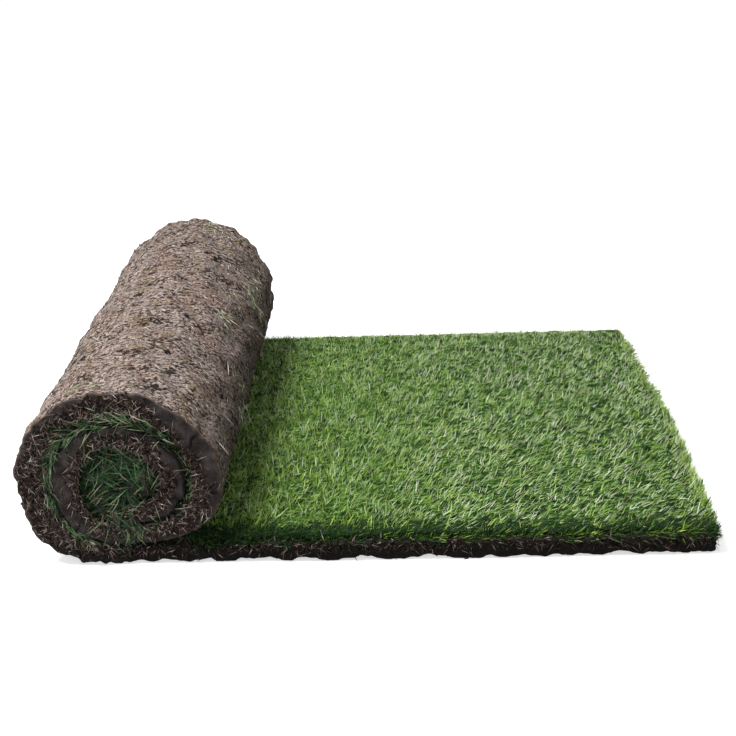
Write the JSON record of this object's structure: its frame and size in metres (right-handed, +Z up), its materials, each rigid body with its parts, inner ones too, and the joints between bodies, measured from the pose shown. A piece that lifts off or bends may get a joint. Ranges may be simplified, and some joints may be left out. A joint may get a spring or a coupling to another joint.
{
  "type": "roll of turf",
  "caption": "Strip of lawn turf with a soil and root mat, wound grass inwards into a short roll, with the rest laid flat as a tail.",
  "frame": {"origin": "middle of the bounding box's underside, on the floor", "axes": "+X from the roll towards the tail's cut end, +Y along the roll, +Z up"},
  "size_m": [0.7816, 0.61, 0.2256],
  "materials": {
    "soil": "moist crumbly soil bound by matted roots and thatch",
    "grass": "dense living grass blades"
  },
  "bodies": {
    "root": {"soil_mat": "soil", "grass": "grass"}
  },
  "joints": []
}
